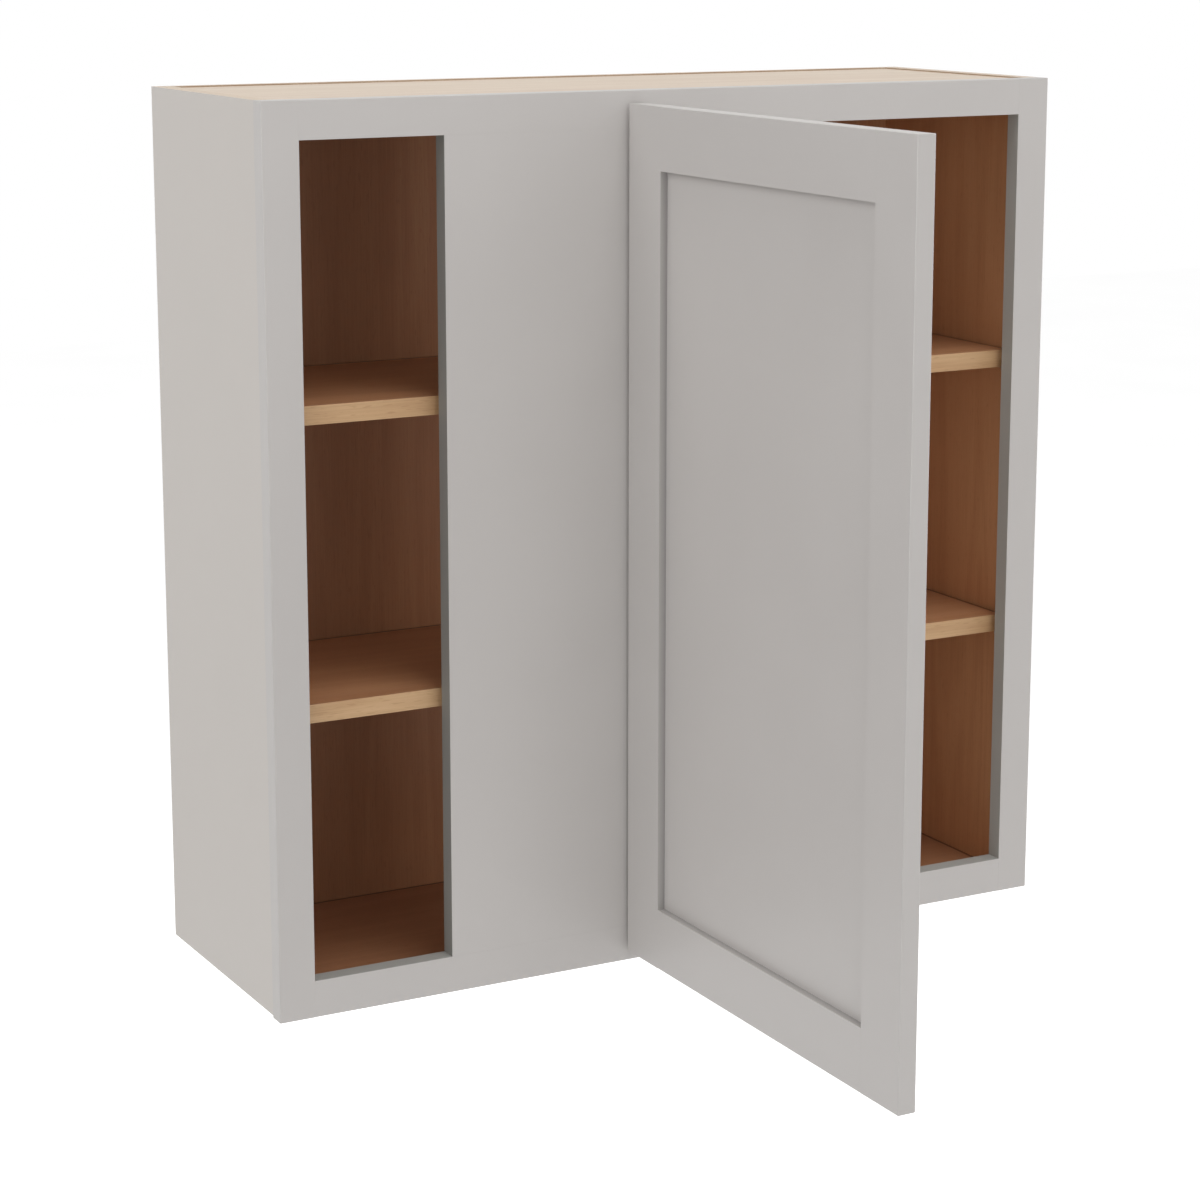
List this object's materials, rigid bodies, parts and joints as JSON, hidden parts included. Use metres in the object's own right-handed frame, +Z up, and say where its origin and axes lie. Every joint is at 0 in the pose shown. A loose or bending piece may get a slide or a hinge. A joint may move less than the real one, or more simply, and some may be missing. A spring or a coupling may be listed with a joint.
{
  "type": "blind corner wall cabinet",
  "caption": "Face-frame blind corner wall cabinet with an open blind bay, loose shelves on pins and a framed door that swings on concealed hinges.",
  "frame": {"origin": "on the wall plane, at the middle of the case's lower back edge", "axes": "-Y out of the wall towards the room, +X to the right as seen from the room, +Z up"},
  "size_m": [0.9144, 0.811, 0.9144],
  "materials": {
    "painted_case": "satin paint",
    "painted_frame": "satin paint",
    "painted_door": "satin paint",
    "maple_panel": "clear satin lacquer",
    "maple_shelf": "clear satin lacquer",
    "maple_band": "clear satin lacquer",
    "beech_dowel": "plain",
    "nickel_steel": "nickel plated",
    "zinc_steel": "zinc plated",
    "clear_bumper": "matte"
  },
  "bodies": {
    "cabinet": {"left_side_panel": "painted_case", "right_side_panel": "painted_case", "top_panel": "maple_panel", "bottom_panel": "maple_panel", "back_panel": "maple_panel", "left_stile": "painted_frame", "blind_stile": "painted_frame", "right_stile": "painted_frame", "top_rail": "painted_frame", "bottom_rail": "painted_frame", "frame_dowels": "beech_dowel", "lower_shelf_pins": "zinc_steel", "upper_shelf_pins": "zinc_steel", "lower_hinge_arm": "nickel_steel", "upper_hinge_arm": "nickel_steel", "hinge_arm_screws": "zinc_steel"},
    "lower_shelf": {"lower_shelf_board": "maple_shelf", "lower_shelf_band": "maple_band"},
    "upper_shelf": {"upper_shelf_board": "maple_shelf", "upper_shelf_band": "maple_band"},
    "door": {"door_hinge_stile": "painted_door", "door_free_stile": "painted_door", "door_top_rail": "painted_door", "door_bottom_rail": "painted_door", "door_panel": "painted_door", "door_bumpers": "clear_bumper", "lower_hinge_cup": "nickel_steel", "upper_hinge_cup": "nickel_steel", "lower_hinge_pin": "zinc_steel", "upper_hinge_pin": "zinc_steel", "hinge_cup_screws": "zinc_steel"}
  },
  "joints": [
    {"name": "door_swing", "type": "hinge", "parent": "cabinet", "child": "door", "pos_m": [-0.0558, -0.31075, 0.4546], "axis": [0, 0, -1], "range_deg": [-90, 15]},
    {"name": "lower_shelf_lift", "type": "slide", "parent": "cabinet", "child": "lower_shelf", "axis": [0, 0, 1], "range_m": [0, 0.05]},
    {"name": "upper_shelf_lift", "type": "slide", "parent": "cabinet", "child": "upper_shelf", "axis": [0, 0, 1], "range_m": [0, 0.05]}
  ]
}
